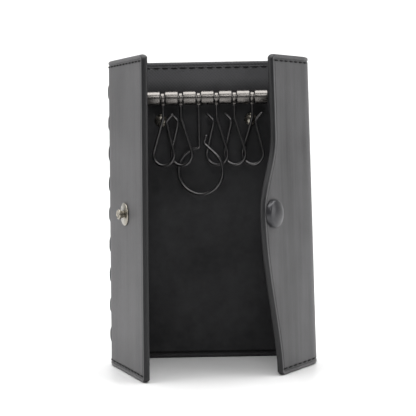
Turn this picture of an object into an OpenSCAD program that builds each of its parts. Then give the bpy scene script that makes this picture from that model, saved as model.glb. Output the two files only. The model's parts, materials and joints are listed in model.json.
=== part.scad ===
// Six-hook key organiser: a leather case with two folding flaps, a key bar with swinging wire
// hooks, and a snap button. Millimetres. +Z is up, +X is to the viewer's right and -Y is towards
// the viewer. The origin is in the middle of the back panel's outer leather, on the surface that
// the case stands on.

/* [Case] */
// Height of the case
case_h = 110; // [95:1:135]
// Flat back panel, from the middle to where the left fold starts
back_left = 24; // [23:0.5:32]
// Flat back panel, from the middle to where the right fold starts
back_right = 23; // [22:0.5:30]
// Thickness of the outer leather
outer_t = 1.1; // [0.9:0.05:1.3]
// Thickness of the lining leather
lining_t = 1.0; // [0.9:0.05:1.2]
// Thickness of the stiffener board and the key plate, sunk into the back of the lining
board_t = 0.5; // [0.4:0.05:0.6]

/* [Folds] */
// Outer radius of the left fold
left_r = 12; // [10:0.5:14]
// How far past square the left flap leans in, degrees
left_lean = 22; // [12:1:26]
// Outer radius of the right fold
right_r = 14; // [12:0.5:16]
// How far past square the right flap leans in, degrees
right_lean = 33; // [20:1:34]
// Clearance left in a bend when the flap is all the way open or closed
fold_gap = 0.1; // [0.06:0.02:0.16]

/* [Flaps] */
// Flat length of the left flap
left_flap_len = 34.5; // [30:0.5:38]
// Flat length of the right flap at its top and bottom
right_flap_len = 21.5; // [20:0.5:24]
// How far the tongue of the right flap reaches past its top and bottom
tongue_reach = 8.6; // [6:0.2:9]
// Height of the tongue above the snap
tongue_up = 27; // [22:1:36]
// Height of the tongue below the snap
tongue_down = 54; // [36:1:54]

/* [Key bar] */
// Height of the hook rod above the bottom of the case
rod_z = 96.6; // [88:0.2:98]
// From the lining to the middle of the hook rod
rod_stand = 4.3; // [4.2:0.1:5]
// Diameter of the rolled barrel
barrel_d = 5.1; // [4.6:0.1:5.6]
// Diameter of the hook rod
rod_d = 1.9; // [1.6:0.1:2.1]
// Distance from one hook to the next
hook_pitch = 6.54; // [6.3:0.02:7]
// Width of each slot in the barrel
slot_w = 1.74; // [1.6:0.02:2]
// Width of the key plate
plate_w = 42; // [40:0.5:43]
// Height of the key plate
plate_h = 16; // [14:0.5:18]

/* [Hooks] */
// Diameter of the hook wire
wire_d = 1.1; // [0.9:0.05:1.2]
// How far each hook is turned on its own shank, degrees
hook_turn = 18; // [16:0.5:22]
// From the rod down to the bend of a key hook
bend_drop = 7.4; // [6.5:0.1:8.5]
// From the rod down to the middle of a key hook's loop
loop_drop = 20.6; // [19:0.1:23]
// Radius of a key hook's loop, to the middle of the wire
loop_r = 4; // [3.4:0.05:4.2]
// From the rod down to the bend of the ring hook
ring_drop = 18.4; // [16:0.1:19]
// Radius of the ring hook, to the middle of the wire
ring_r = 8.5; // [7.4:0.05:8.6]

/* [Snap] */
// Height of the snap above the bottom of the case
snap_z = 56; // [50:0.5:60]
// From the start of the left flap to the stud
stud_along = 15.8; // [14:0.2:18]
// Diameter of the cap
cap_d = 9.8; // [9:0.1:10.4]
// Height of the cap's dome
cap_h = 2.5; // [2.2:0.1:2.8]
// Diameter of the stud's head
head_d = 3.6; // [3.2:0.1:3.8]
// How far the stud's head stands out of the leather
head_h = 2.9; // [2.7:0.1:3.4]

/* [Stitching and lace] */
// From the edge of the leather to a row of stitches
stitch_inset = 2.2; // [1.8:0.1:3]
// Length of one stitch
stitch_len = 2.2; // [1.6:0.1:2.6]
// Distance from one stitch to the next
stitch_pitch = 3.1; // [2.8:0.1:3.6]
// Diameter of the thread
thread_d = 0.5; // [0.4:0.05:0.6]
// Number of passes of the lace down the left fold
lace_passes = 9; // [7:1:10]
// Width of the lace
lace_w = 2.4; // [2:0.1:3]
// How far the lace stands out of the leather
lace_t = 0.7; // [0.5:0.05:0.9]

/* [Hidden] */
$fn = 48;

// Fits
pin_gap = 0.05;
cut = 1;

// Leather, front to back
wall_t = outer_t + lining_t;
y_outer = outer_t / 2;
y_lining = y_outer - outer_t;
y_board = y_lining - board_t;
y_front = y_outer - wall_t;
arc_step = 3;

// Folds: each bends at two lines, given in degrees round the fold from the back panel
left_bends = [8, 62];
right_bends = [10, 70];

lace_at = 88;
lace_gap = 0.03;

// Key bar
hook_count = 6;
rod_y = y_front - rod_stand;
bar_len = (hook_count + 1) * hook_pitch - slot_w;
rod_len = bar_len - 0.6;
lip_h = 1.6;
plate_top = rod_z + 4.4;
plate_bottom = plate_top - plate_h;
board_w = plate_w + 2;
board_margin = 1.5;
board_gap = 0.05;
rivet_x = [-17.2, 15.9];
rivet_z = rod_z - 8;
rivet_head_d = 4.8;
rivet_head_h = 1.3;
rivet_pin_d = 2;
washer_t = 0.3;
washer_d = 4;

// Hooks
eye_d = 3.9;
eye_w = 1.3;
eye_tab = 2.6;
neck_d = 0.7;
neck_up = 1.3;
shank_top = eye_tab + 0.15;
bend_r = 1.8;
gate_lean = 14;
gate_gap = 0.25;
tip_turn = 58;
tip_len = 2.4;
ring_bend_r = 1;
ring_bend = 82;
ring_sweep = 310;
ring_gate_len = 5;
ring_tip_turn = 67;
ring_tip_len = 2.2;
wire_sides = 12;
wire_step = 12;

// Snap
flange_d = 8;
flange_t = 0.6;
stud_neck_d = 2.6;
stud_rim_d = 1.2;
post_d = 1.6;
post_up = 1.8;
post_cap_d = 7.6;
post_cap_t = 0.5;
socket_flange_t = 0.5;
socket_bore_d = head_d + 0.6;
socket_barrel_d = socket_bore_d + 1;
socket_out = 0.35;
spring_wire_d = 0.4;
cap_hollow_d = socket_barrel_d + 1;
cap_hollow_h = 1;

// Rotates the point p by a degrees about the point c
function turned(p, c, a) = [
  c[0] + (p[0] - c[0]) * cos(a) - (p[1] - c[1]) * sin(a),
  c[1] + (p[0] - c[0]) * sin(a) + (p[1] - c[1]) * cos(a)
];

// A point of a fold, seen from above: side is -1 or 1, start is where the back panel ends, r is
// the fold's outer radius, inset is how deep in the leather and a is the angle round the fold
function fold_point(side, start, r, inset, a) = [
  side * (start + (r - inset) * sin(a)),
  y_outer - r + (r - inset) * cos(a)
];

// Where a point of a flap lies once each of the fold's two bends has turned by a
function folded(p, side, start, r, bends, a) =
  turned(
    turned(p, fold_point(side, start, r, wall_t / 2, bends[1]), a),
    fold_point(side, start, r, wall_t / 2, bends[0]),
    a
  );

// A point on the outer face of a flap, given its distance from the end of the fold
function flap_point(side, start, r, lean, along) =
  fold_point(side, start, r, 0, 90 + lean) + along * [-side * sin(lean), -cos(lean)];

// The cap sits where it meets the stud when both flaps are closed
stud_open = flap_point(-1, back_left, left_r, left_lean, stud_along);
stud_shut = folded(stud_open, -1, back_left, left_r, left_bends, (90 - left_lean) / 2);
right_open = flap_point(1, back_right, right_r, right_lean, 0);
right_shut = folded(right_open, 1, back_right, right_r, right_bends, (right_lean - 90) / 2);
cap_along = right_shut[0] - stud_shut[0];

function hook_x(i) = (i - (hook_count + 1) / 2) * hook_pitch;

// How far the tongue stands out at height z
function tongue(z) =
  let (share = z > snap_z ? (z - snap_z) / tongue_up : (snap_z - z) / tongue_down)
    share >= 1 ? 0 : tongue_reach * pow((1 + cos(180 * share)) / 2, z > snap_z ? 1 : 0.75);

// Points of a fold seen from above, at one depth in the leather, from angle a0 to a1. Every layer
// has its points at the same angles, so that layers meet all along.
function arc_points(side, start, r, inset, a0, a1) =
  let (
    low = min(a0, a1),
    high = max(a0, a1),
    between = [
      for (k = [floor(low / arc_step) + 1 : 1 : ceil(high / arc_step) - 1]) k * arc_step
    ],
    angles = concat([low], between, [high]),
    last = len(angles) - 1
  )
    [for (i = [0 : last]) fold_point(side, start, r, inset, angles[a1 > a0 ? i : last - i])];

leather_colour = [0.13, 0.13, 0.14];
lining_colour = [0.07, 0.07, 0.08];
metal_colour = [0.42, 0.40, 0.38];
rivet_colour = [0.62, 0.57, 0.48];
wire_colour = [0.25, 0.25, 0.26];
thread_colour = [0.04, 0.04, 0.04];

// ---- Shared shapes ----

// A round bar along Y from y0 to y1
module bar_y(d, y0, y1) {
  translate([0, y0, 0])
    rotate([-90, 0, 0])
      cylinder(d = d, h = y1 - y0);
}

// A low dome on the face y = 0, standing out towards -Y
module dome(d, h) {
  r = (d * d / 4 + h * h) / (2 * h);
  intersection() {
    translate([0, r - h, 0])
      sphere(r = r, $fn = 96);
    bar_y(d, -h - cut, 0);
  }
}

module on_side(side) {
  if (side < 0)
    mirror([1, 0, 0])
      children();
  else
    children();
}

// A layer of a fold from angle a0 to a1, and then of the flap for a flat length, as tall as the
// case. The layer lies between two depths in the leather.
module leather_strip(side, start, r, outer_in, inner_in, a0, a1, flat = 0) {
  along = flat * [-side * sin(a1 - 90), -cos(a1 - 90)];
  flat_end = flat > 0 ?
    [
      fold_point(side, start, r, outer_in, a1) + along,
      fold_point(side, start, r, inner_in, a1) + along
    ] : [];
  linear_extrude(case_h)
    polygon(concat(
      arc_points(side, start, r, outer_in, a0, a1),
      flat_end,
      arc_points(side, start, r, inner_in, a1, a0)
    ));
}

// Angle round a fold from a bend to the edge of a layer. The bend turns about the middle of the
// leather, so the outer layer needs room for the flap to open and the lining for it to close.
function edge_angle(r, lean, inset) =
  let (
    turn = (inset == 0 ? 90 + lean : 90 - lean) / 2,
    radius = inset == 0 ? r : r - wall_t
  )
    (wall_t * tan(turn / 2) + fold_gap) / 2 / radius * 180 / PI;

// Places children in a flap's own frame: its outer face is y = 0, its leather is on the +Y side
// and it runs along -X from the end of the fold
module on_flap(side, start, r, lean, along, z) {
  p = fold_point(1, start, r, 0, 90 + lean);
  on_side(side)
    translate([p[0], p[1], z])
      rotate([0, 0, 90 - lean])
        translate([-along, 0, 0])
          children();
}

module on_left_flap(along, z) {
  on_flap(-1, back_left, left_r, left_lean, along, z)
    children();
}

module on_right_flap(along, z) {
  on_flap(1, back_right, right_r, right_lean, along, z)
    children();
}

// Stitches along X on the face y = 0, standing out towards -Y
module stitch_run(from_x, to_x) {
  count = floor((to_x - from_x - stitch_len) / stitch_pitch) + 1;
  spare = (to_x - from_x - (count - 1) * stitch_pitch - stitch_len) / 2;
  for (i = [0 : count - 1])
    translate([from_x + spare + i * stitch_pitch, -thread_d, -thread_d / 2])
      cube([stitch_len, thread_d, thread_d]);
}

module at_both_edges() {
  for (z = [stitch_inset, case_h - stitch_inset])
    translate([0, 0, z])
      children();
}

// ---- Back panel ----

// A layer of the back panel, which ends in the start of each fold
module back_layer(outer_in, inner_in) {
  left_end = left_bends[0] - edge_angle(left_r, left_lean, outer_in);
  right_end = right_bends[0] - edge_angle(right_r, right_lean, outer_in);
  linear_extrude(case_h)
    polygon(concat(
      arc_points(-1, back_left, left_r, outer_in, left_end, 0),
      arc_points(1, back_right, right_r, outer_in, 0, right_end),
      arc_points(1, back_right, right_r, inner_in, right_end, 0),
      arc_points(-1, back_left, left_r, inner_in, 0, left_end)
    ));
}

module back_outer() {
  color(leather_colour)
    back_layer(0, outer_t);
}

// Hollow in the back of the lining for the board and the key plate
module board_hollow() {
  translate([-board_w / 2 - board_gap, y_board, board_margin - board_gap])
    cube([
      board_w + 2 * board_gap,
      board_t + cut,
      plate_top - board_margin + 2 * board_gap
    ]);
}

module back_lining() {
  color(lining_colour)
    difference() {
      back_layer(outer_t, wall_t);
      board_hollow();
      translate([-bar_len / 2 - pin_gap, y_front - cut, rod_z - lip_h / 2 - pin_gap])
        cube([bar_len + 2 * pin_gap, lining_t + cut, lip_h + 2 * pin_gap]);
      at_rivets()
        bar_y(rivet_pin_d + 2 * pin_gap, y_front - cut, y_outer);
    }
}

module stiffener_board() {
  color("dimgray")
    translate([-board_w / 2, y_board, board_margin])
      cube([board_w, board_t, plate_bottom - board_gap - board_margin]);
}

// ---- Key bar ----

module at_rivets() {
  for (x = rivet_x)
    translate([x, 0, rivet_z])
      children();
}

module at_hook(i) {
  translate([hook_x(i), rod_y, rod_z])
    children();
}

// One stamped plate whose lip passes through the lining into the slotted barrel
module key_plate() {
  color(metal_colour)
    difference() {
      union() {
        translate([-plate_w / 2, y_board, plate_bottom])
          cube([plate_w, board_t, plate_h]);
        translate([-bar_len / 2, rod_y, rod_z - lip_h / 2])
          cube([bar_len, y_lining - rod_y, lip_h]);
        translate([-bar_len / 2, rod_y, rod_z])
          rotate([0, 90, 0])
            cylinder(d = barrel_d, h = bar_len);
      }
      translate([-bar_len / 2 - cut, rod_y, rod_z])
        rotate([0, 90, 0])
          cylinder(d = rod_d + 2 * pin_gap, h = bar_len + 2 * cut);
      for (i = [1 : hook_count])
        at_hook(i)
          translate([-slot_w / 2, -barrel_d, -barrel_d])
            cube([slot_w, barrel_d + rod_stand, 2 * barrel_d]);
      at_rivets()
        bar_y(rivet_pin_d + 2 * pin_gap, y_front, y_outer);
    }
}

module hook_rod() {
  color(metal_colour)
    translate([-rod_len / 2, rod_y, rod_z])
      rotate([0, 90, 0])
        cylinder(d = rod_d, h = rod_len);
}

module plate_rivets() {
  color(rivet_colour)
    at_rivets() {
      bar_y(rivet_pin_d, y_front - washer_t - 0.1, y_lining);
      translate([0, y_front - washer_t, 0])
        dome(rivet_head_d, rivet_head_h);
    }
}

module rivet_washers() {
  color(metal_colour)
    at_rivets()
      difference() {
        bar_y(washer_d, y_front - washer_t, y_front);
        bar_y(rivet_pin_d + 2 * pin_gap, y_front - cut, y_front + cut);
      }
}

module back_stitching() {
  color(thread_colour)
    at_both_edges()
      translate([0, y_front, 0])
        stitch_run(-back_left, back_right);
}

// ---- Left fold and flap ----

module left_fold_layer(outer_in, inner_in) {
  edge = edge_angle(left_r, left_lean, outer_in);
  leather_strip(
    -1, back_left, left_r, outer_in, inner_in, left_bends[0] + edge, left_bends[1] - edge
  );
}

module left_fold_outer() {
  color(leather_colour)
    left_fold_layer(0, outer_t);
}

module left_fold_lining() {
  color(lining_colour)
    left_fold_layer(outer_t, wall_t);
}

module left_flap_layer(outer_in, inner_in) {
  difference() {
    leather_strip(
      -1, back_left, left_r, outer_in, inner_in,
      left_bends[1] + edge_angle(left_r, left_lean, outer_in), 90 + left_lean, left_flap_len
    );
    on_left_flap(stud_along, snap_z)
      bar_y(post_d + 2 * pin_gap, -cut, wall_t + cut);
  }
}

module left_flap_outer() {
  color(leather_colour)
    left_flap_layer(0, outer_t);
}

module left_flap_lining() {
  color(lining_colour)
    left_flap_layer(outer_t, wall_t);
}

// A leather thong laced in and out down the spine; the outer passes stand proud of the leather
module spine_lace() {
  pass_pitch = case_h / (lace_passes + 1);
  pass_h = pass_pitch * 0.55;
  half_angle = lace_w / 2 / left_r * 180 / PI;
  color(leather_colour)
    for (i = [1 : lace_passes])
      translate([0, 0, i * pass_pitch - pass_h / 2])
        linear_extrude(pass_h)
          polygon(concat(
            arc_points(-1, back_left, left_r, -lace_t, lace_at - half_angle, lace_at + half_angle),
            arc_points(
              -1, back_left, left_r, -lace_gap, lace_at + half_angle, lace_at - half_angle
            )
          ));
}

module left_flap_stitching() {
  color(thread_colour)
    at_both_edges()
      on_left_flap(0, 0)
        stitch_run(-left_flap_len + 1, 0);
}

// ---- Right fold and flap ----

module right_fold_layer(outer_in, inner_in) {
  edge = edge_angle(right_r, right_lean, outer_in);
  leather_strip(
    1, back_right, right_r, outer_in, inner_in, right_bends[0] + edge, right_bends[1] - edge
  );
}

module right_fold_outer() {
  color(leather_colour)
    right_fold_layer(0, outer_t);
}

module right_fold_lining() {
  color(lining_colour)
    right_fold_layer(outer_t, wall_t);
}

// Outline of the right flap with its tongue, from well past the fold
module tongue_outline() {
  steps = 24;
  low = snap_z - tongue_down;
  high = snap_z + tongue_up;
  polygon(concat(
    [
      [2 * right_r, -cut], [2 * right_r, case_h + cut], [-right_flap_len, case_h + cut],
    ],
    [
      for (i = [steps : -1 : 0])
        let (z = low + (high - low) * i / steps)
          [-right_flap_len - tongue(z), z]
    ],
    [[-right_flap_len, -cut]]
  ));
}

module right_flap_layer(outer_in, inner_in) {
  difference() {
    intersection() {
      leather_strip(
        1, back_right, right_r, outer_in, inner_in,
        right_bends[1] + edge_angle(right_r, right_lean, outer_in), 90 + right_lean,
        right_flap_len + tongue_reach + cut
      );
      on_right_flap(0, 0)
        translate([0, 2 * right_r, 0])
          rotate([90, 0, 0])
            linear_extrude(4 * right_r)
              tongue_outline();
    }
    on_right_flap(cap_along, snap_z)
      bar_y(socket_barrel_d + 2 * pin_gap, -cut, wall_t + cut);
  }
}

module right_flap_outer() {
  color(leather_colour)
    right_flap_layer(0, outer_t);
}

module right_flap_lining() {
  color(lining_colour)
    right_flap_layer(outer_t, wall_t);
}

module right_flap_stitching() {
  color(thread_colour)
    at_both_edges()
      on_right_flap(0, 0)
        stitch_run(-right_flap_len + 1, 0);
}

// ---- Snap ----

// The half that stands on the left flap: a flange, a neck and a round-rimmed head
module snap_stud() {
  color(rivet_colour)
    on_left_flap(stud_along, snap_z)
      difference() {
        union() {
          bar_y(flange_d, -flange_t, 0);
          bar_y(stud_neck_d, -head_h + stud_rim_d / 2, 0);
          translate([0, -head_h + stud_rim_d / 2, 0])
            rotate([-90, 0, 0])
              rotate_extrude()
                intersection() {
                  union() {
                    translate([head_d / 2 - stud_rim_d / 2, 0])
                      circle(d = stud_rim_d);
                    translate([0, -stud_rim_d / 2])
                      square([head_d / 2 - stud_rim_d / 2, stud_rim_d]);
                  }
                  translate([0, -stud_rim_d])
                    square([head_d, 2 * stud_rim_d]);
                }
        }
        bar_y(post_d + 2 * pin_gap, -post_up - pin_gap, cut);
      }
}

// The post that comes through the leather from the inside and carries the stud
module stud_post() {
  color(rivet_colour)
    on_left_flap(stud_along, snap_z) {
      bar_y(post_d, -post_up, wall_t + post_cap_t);
      bar_y(post_cap_d, wall_t, wall_t + post_cap_t);
    }
}

// The half in the right flap that the stud's head goes into
module snap_socket() {
  color(metal_colour)
    on_right_flap(cap_along, snap_z)
      difference() {
        union() {
          bar_y(flange_d, wall_t, wall_t + socket_flange_t);
          bar_y(socket_barrel_d, -socket_out, wall_t + socket_flange_t);
        }
        bar_y(socket_bore_d, -socket_out - cut, wall_t + socket_flange_t + cut);
      }
}

// The sprung ring that grips the stud's neck
module snap_spring() {
  color(metal_colour)
    on_right_flap(cap_along, snap_z)
      translate([0, -socket_out - spring_wire_d / 2, 0])
        rotate([-90, 0, 0])
          rotate_extrude()
            translate([socket_barrel_d / 2 - spring_wire_d / 2, 0])
              circle(d = spring_wire_d, $fn = 24);
}

module snap_cap() {
  color(wire_colour)
    on_right_flap(cap_along, snap_z)
      difference() {
        dome(cap_d, cap_h);
        bar_y(cap_hollow_d, -cap_hollow_h, cut);
      }
}

// ---- Hooks ----

// The eye that rides on the rod in a slot of the barrel and carries one hook's neck
module shackle(i) {
  color(metal_colour)
    at_hook(i)
      difference() {
        union() {
          translate([-eye_w / 2, 0, 0])
            rotate([0, 90, 0])
              cylinder(d = eye_d, h = eye_w);
          translate([-eye_w / 2, -eye_w / 2, -eye_tab])
            cube([eye_w, eye_w, eye_tab]);
        }
        translate([-eye_w, 0, 0])
          rotate([0, 90, 0])
            cylinder(d = rod_d + 2 * pin_gap, h = 2 * eye_w);
        translate([0, 0, -eye_tab - cut])
          cylinder(d = neck_d + 2 * pin_gap, h = eye_tab + cut - neck_up + pin_gap);
      }
}

// A wire as a closed tube: each step of the wire is [length, turn], starting at the origin and
// running down, and a turn is in degrees towards +X
function straight(length) = [[length, 0]];

function bend(r, turn) =
  let (n = ceil(abs(turn) / wire_step))
    [for (i = [1 : n]) [2 * r * sin(abs(turn) / n / 2), turn / n]];

// Each place along the wire as [x, z, heading, share of the wire's radius]
function walk(steps, i = 0, x = 0, z = 0, heading = 0) =
  i == len(steps) ?
    [
      [x, z, heading, 1],
      [x + wire_d / 4 * sin(heading), z - wire_d / 4 * cos(heading), heading, 0.85],
      [x + wire_d / 2 * sin(heading), z - wire_d / 2 * cos(heading), heading, 0.4]
    ] :
    let (mid = heading + steps[i][1] / 2)
      concat(
        [[x, z, heading, 1]],
        walk(
          steps, i + 1, x + steps[i][0] * sin(mid), z - steps[i][0] * cos(mid),
          heading + steps[i][1]
        )
      );

function ring(place) = [
  for (i = [0 : wire_sides - 1])
    let (r = place[3] * wire_d / 2, a = 360 * i / wire_sides)
      [place[0] + r * cos(a) * cos(place[2]), r * sin(a), place[1] + r * cos(a) * sin(place[2])]
];

module wire(steps) {
  places = walk(steps);
  last = len(places) - 1;
  n = wire_sides;
  polyhedron(
    points = [for (place = places) each ring(place)],
    faces = concat(
      [[for (i = [n - 1 : -1 : 0]) i]],
      [
        for (k = [0 : last - 1], i = [0 : n - 1])
          [k * n + i, (k + 1) * n + (i + 1) % n, (k + 1) * n + i]
      ],
      [
        for (k = [0 : last - 1], i = [0 : n - 1])
          [k * n + i, k * n + (i + 1) % n, (k + 1) * n + (i + 1) % n]
      ],
      [[for (i = [0 : n - 1]) last * n + i]]
    )
  );
}

module hook(i, side, steps) {
  color(wire_colour)
    at_hook(i)
      rotate([0, 0, -hook_turn])
        on_side(side)
          translate([0, 0, -shank_top]) {
            cylinder(d = neck_d, h = shank_top - neck_up);
            wire(steps);
          }
}

// A wire hook shaped like a drop: the shank runs down one side, round the loop and back up to a
// sprung gate that ends beside the shank in a flared tip
module key_hook(i, side) {
  reach = loop_drop - bend_drop;
  taper = asin(loop_r / reach);
  trim = bend_r * tan(taper / 2);
  gate_len = (loop_r * cos(gate_lean) - wire_d - gate_gap) / sin(gate_lean);
  hook(i, side, concat(
    straight(bend_drop - shank_top - trim),
    bend(bend_r, -taper),
    straight(reach * cos(taper) - trim),
    bend(loop_r, 180 + taper + gate_lean),
    straight(gate_len),
    bend(bend_r, -tip_turn),
    straight(tip_len)
  ));
}

// The long hook in the middle ends in a split ring for the car key
module ring_hook(i) {
  hook(i, 1, concat(
    straight(ring_drop - shank_top - ring_bend_r),
    bend(ring_bend_r, -ring_bend),
    bend(ring_r, ring_sweep),
    straight(ring_gate_len),
    bend(ring_bend_r, -ring_tip_turn),
    straight(ring_tip_len)
  ));
}

back_outer();
back_lining();
stiffener_board();
key_plate();
hook_rod();
plate_rivets();
rivet_washers();
back_stitching();
left_fold_outer();
left_fold_lining();
left_flap_outer();
left_flap_lining();
spine_lace();
snap_stud();
stud_post();
left_flap_stitching();
right_fold_outer();
right_fold_lining();
right_flap_outer();
right_flap_lining();
snap_socket();
snap_spring();
snap_cap();
right_flap_stitching();
shackle(1);  // shackle_1
shackle(2);  // shackle_2
shackle(3);  // shackle_3
shackle(4);  // shackle_4
shackle(5);  // shackle_5
shackle(6);  // shackle_6
key_hook(1, 1);  // key_hook_1
key_hook(2, -1);  // key_hook_2
ring_hook(3);  // ring_hook_3
key_hook(4, -1);  // key_hook_4
key_hook(5, -1);  // key_hook_5
key_hook(6, 1);  // key_hook_6
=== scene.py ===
# %% [markdown]
# # A folding key case for the pocket
# A leather case stands open on a table. Its two flaps fold round a stack of keys and a snap
# button shuts them. Inside, a slotted bar carries six wire hooks, one of them a split ring.
# Every piece is made in the same frame as the construction model, in millimetres, and turned
# into metres when its mesh is written.

# %% Start from the frame
import bpy, bmesh, json, math
from mathutils import Matrix, Vector


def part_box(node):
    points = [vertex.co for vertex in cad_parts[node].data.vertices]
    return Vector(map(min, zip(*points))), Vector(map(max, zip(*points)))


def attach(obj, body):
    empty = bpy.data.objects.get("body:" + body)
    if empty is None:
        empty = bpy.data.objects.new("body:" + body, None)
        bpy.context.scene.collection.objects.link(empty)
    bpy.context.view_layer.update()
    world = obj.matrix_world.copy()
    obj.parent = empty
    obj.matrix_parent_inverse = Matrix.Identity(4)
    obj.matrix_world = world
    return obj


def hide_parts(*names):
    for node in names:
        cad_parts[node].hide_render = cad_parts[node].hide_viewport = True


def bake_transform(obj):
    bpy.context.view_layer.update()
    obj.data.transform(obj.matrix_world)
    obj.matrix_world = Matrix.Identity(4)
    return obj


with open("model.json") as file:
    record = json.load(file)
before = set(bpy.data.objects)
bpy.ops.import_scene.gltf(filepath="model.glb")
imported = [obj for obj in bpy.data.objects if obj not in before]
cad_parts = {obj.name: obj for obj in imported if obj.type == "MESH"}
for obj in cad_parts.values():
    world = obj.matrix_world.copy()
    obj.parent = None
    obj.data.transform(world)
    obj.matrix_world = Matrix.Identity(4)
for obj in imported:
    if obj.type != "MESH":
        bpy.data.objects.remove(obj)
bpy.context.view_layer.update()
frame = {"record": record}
MM = 0.001
HEIGHT = (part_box("left_flap_outer")[1].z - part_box("left_flap_outer")[0].z) / MM
ROD = [(a + b) / 2 / MM for a, b in zip(*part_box("hook_rod"))]
HOOK_X = [
    (j["pos_m"][0]) / MM for j in frame["record"]["behaviour"]["joints"]
    if j["name"].endswith("_swing")
]
HOOK_X.sort()
print(f"case height {HEIGHT:.1f} mm, rod at {ROD[1]:.2f}, {ROD[2]:.2f}, hooks at {HOOK_X}")

# %% [markdown]
# ## The leather's path
# Seen from above the case is one strip: left flap, left fold, back, right fold and right flap.
# A distance u is counted from the middle of the back, along the outer skin. Each fold is a
# round bend that goes past square, so the flaps lean in towards each other.

# %% Path of the strip
OUTER, LINING = 1.1, 1.0
WALL = OUTER + LINING
SIDES = {
    -1: dict(start=24.0, r=12.0, lean=22.0, flap=34.5, bends=(8, 62)),
    1: dict(start=23.0, r=14.0, lean=33.0, flap=21.5, bends=(10, 70)),
}
SNAP_Z = 56.0
TONGUE_REACH, TONGUE_UP, TONGUE_DOWN = 8.6, 27.0, 54.0
SPLAY = {-1: 1.45, 1: 1.85}
BOW = 0.0


def turn_at(side, u):
    """Angle round the fold at distance u, in radians."""
    s = SIDES[side]
    return min(max((u - s["start"]) / s["r"], 0), math.radians(90 + s["lean"]))


def on_strip(side, u, depth, z):
    """A point of the leather at distance u, at a depth under the outer skin."""
    s = SIDES[side]
    a = turn_at(side, u)
    r = s["r"]
    x = min(u, s["start"]) + r * math.sin(a)
    y = OUTER / 2 - r + r * math.cos(a)
    rest = max(u - s["start"] - r * a, 0)
    x += rest * math.cos(a) - depth * math.sin(a)
    y += -rest * math.sin(a) - depth * math.cos(a)
    # a flap would bow out between its fold and its free edge by BOW, which is zero here
    bow = BOW * math.sin(math.pi * min(rest / s["flap"], 1.0)) if rest > 0 else 0
    x += bow * math.sin(a)
    y += bow * math.cos(a)
    # the open flaps splay a little wider at the foot than at the top
    share = min(max((u - s["start"]) / (r * 1.1), 0), 1)
    x += SPLAY[side] * (SNAP_Z - z) / HEIGHT * share * share * (3 - 2 * share)
    return Vector((side * x, y, z))


def arc_u(side, degrees):
    return SIDES[side]["start"] + SIDES[side]["r"] * math.radians(degrees)


def flap_start(side):
    return arc_u(side, 90 + SIDES[side]["lean"])


def tongue(z):
    """How far the right flap's tongue stands out at height z."""
    share = (z - SNAP_Z) / TONGUE_UP if z > SNAP_Z else (SNAP_Z - z) / TONGUE_DOWN
    if share >= 1:
        return 0.0
    return TONGUE_REACH * ((1 + math.cos(math.pi * share)) / 2) ** (1 if z > SNAP_Z else 0.75)


def edge_u(side, z):
    """Where the free edge of a flap lies at height z."""
    return flap_start(side) + SIDES[side]["flap"] + (tongue(z) if side > 0 else 0)


# %% [markdown]
# ## Meshes
# Small helpers gather rings of points into closed meshes. A piece is written once, at the
# origin and unturned, with its normals facing out and its sharp edges kept.

# %% Mesh helpers
class Piece:
    def __init__(self):
        self.points, self.faces, self.kinds, self.rim = [], [], [], []

    def add(self, points, faces, kind=0, matrix=None, rim=None):
        base = len(self.points)
        points = [Vector(p) for p in points]
        if matrix is not None:
            points = [matrix @ p for p in points]
        self.points += points
        self.rim += list(rim) if rim else [6.0] * len(points)
        kinds = kind if isinstance(kind, list) else [kind] * len(faces)
        self.faces += [[base + i for i in f] for f in faces]
        self.kinds += kinds

    def build(self, name, *materials, body=None, replaces=(), slot=None, sharp=38):
        mesh = bpy.data.meshes.new(name)
        mesh.from_pydata([p * MM for p in self.points], [], self.faces)
        for m in materials:
            mesh.materials.append(m)
        mesh.polygons.foreach_set("material_index", self.kinds)
        rim = mesh.attributes.new("rim", "FLOAT", "POINT")
        rim.data.foreach_set("value", self.rim)
        bm = bmesh.new()
        bm.from_mesh(mesh)
        bmesh.ops.remove_doubles(bm, verts=bm.verts, dist=1e-7)
        bmesh.ops.recalc_face_normals(bm, faces=bm.faces)
        bm.to_mesh(mesh)
        bm.free()
        mesh.shade_smooth()
        mesh.set_sharp_from_angle(angle=math.radians(sharp))
        obj = bpy.data.objects.new(name, mesh)
        bpy.context.scene.collection.objects.link(obj)
        if replaces:
            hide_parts(*replaces)
        if body:
            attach(obj, body)
        print(f"{name}: {len(mesh.polygons)} faces")
        return obj


def rings(points, count, closed_ends=True):
    """Faces between rings of count points each."""
    n = len(points) // count
    faces = [
        [k * count + i, k * count + (i + 1) % count, (k + 1) * count + (i + 1) % count, (k + 1) * count + i]
        for k in range(n - 1) for i in range(count)
    ]
    if closed_ends:
        faces += [list(range(count))[::-1], [(n - 1) * count + i for i in range(count)]]
    return faces


def lathe(piece, profile, matrix, kind=0, n=48):
    """A turned shape round Z. The profile is (radius, height) and may start or end on the axis."""
    points, faces, spans = [], [], []
    for r, z in profile:
        spans.append((len(points), 1 if r < 1e-6 else n))
        count = 1 if r < 1e-6 else n
        points += [(r * math.cos(2 * math.pi * i / n), r * math.sin(2 * math.pi * i / n), z) for i in range(count)]
    for (a, ca), (b, cb) in zip(spans, spans[1:]):
        for i in range(n):
            quad = [a + i % ca, a + (i + 1) % ca, b + (i + 1) % cb, b + i % cb]
            face = list(dict.fromkeys(quad))
            if len(face) > 2:
                faces.append(face)
    piece.add(points, faces, kind, matrix)


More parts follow.
